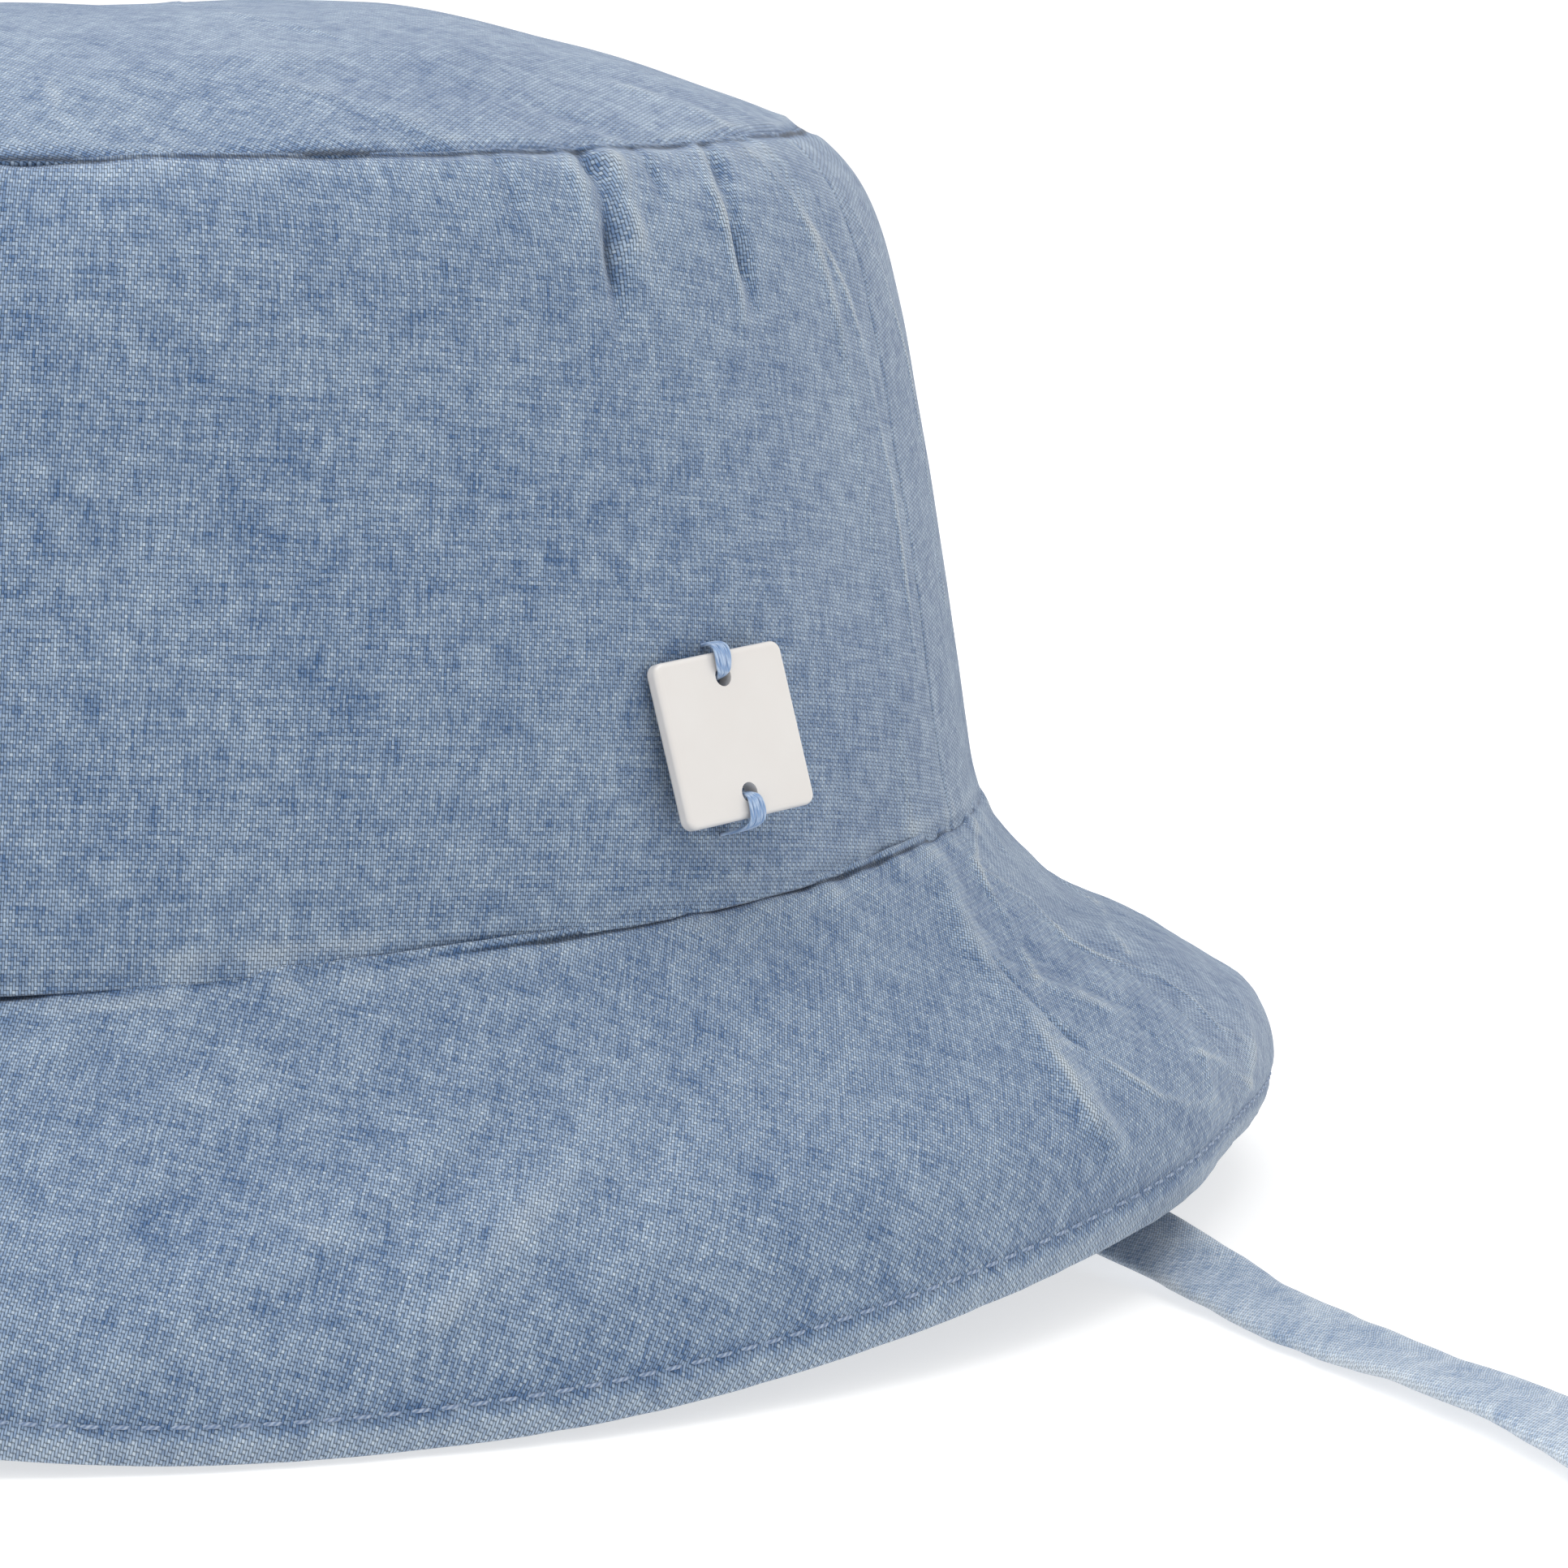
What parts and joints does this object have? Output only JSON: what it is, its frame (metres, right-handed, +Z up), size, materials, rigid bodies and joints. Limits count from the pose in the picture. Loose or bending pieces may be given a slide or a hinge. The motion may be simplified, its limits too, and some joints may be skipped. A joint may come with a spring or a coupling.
{
  "type": "bucket hat",
  "caption": "Small soft bucket hat in washed twill with a round tip, a downturned stitched brim, a flat cloth tie and a square button tag.",
  "frame": {"origin": "on the table, on the crown's axis, where the standing hat rests on its brim", "axes": "+Z up through the crown; -Y towards the wearer's front; +X towards the wearer's left, where the tie is"},
  "size_m": [0.2923, 0.1968, 0.102],
  "materials": {
    "washed_twill": "stone-washed light-blue cotton twill",
    "tie_cloth": "washed cotton twill, folded and pressed",
    "lining": "plain-weave cotton, matt",
    "interlining": "bonded stiffener, matt",
    "seam_tape": "bias-cut cotton tape, matt",
    "label_tape": "woven satin tape, blank",
    "stitching_thread": "spun polyester thread, matt",
    "tag_thread": "stranded cotton thread, matt",
    "glazed_tag": "white glazed ceramic, glossy and blank"
  },
  "bodies": {
    "hat": {"crown_tip": "washed_twill", "crown_band_front": "washed_twill", "crown_band_back": "washed_twill", "lining_tip": "lining", "lining_band_front": "lining", "lining_band_back": "lining", "tip_seam_allowance": "washed_twill", "side_seam_allowance_left": "washed_twill", "side_seam_allowance_right": "washed_twill", "brim_upper_front": "washed_twill", "brim_upper_back": "washed_twill", "brim_interlining_front": "interlining", "brim_interlining_back": "interlining", "brim_under_front": "washed_twill", "brim_under_back": "washed_twill", "brim_edge_stitching": "stitching_thread", "head_seam_tape": "seam_tape", "size_label": "label_tape", "tag_thread_upper": "tag_thread", "tag_thread_lower": "tag_thread", "tie_left": "tie_cloth"},
    "tag": {"tag": "glazed_tag"}
  },
  "joints": [
    {"name": "tag_rock", "type": "hinge", "parent": "hat", "child": "tag", "pos_m": [0.06889, -0.03556, 0.0457], "axis": [-0.2559, 0.0777, 0.9636], "range_deg": [-2, 11]}
  ]
}
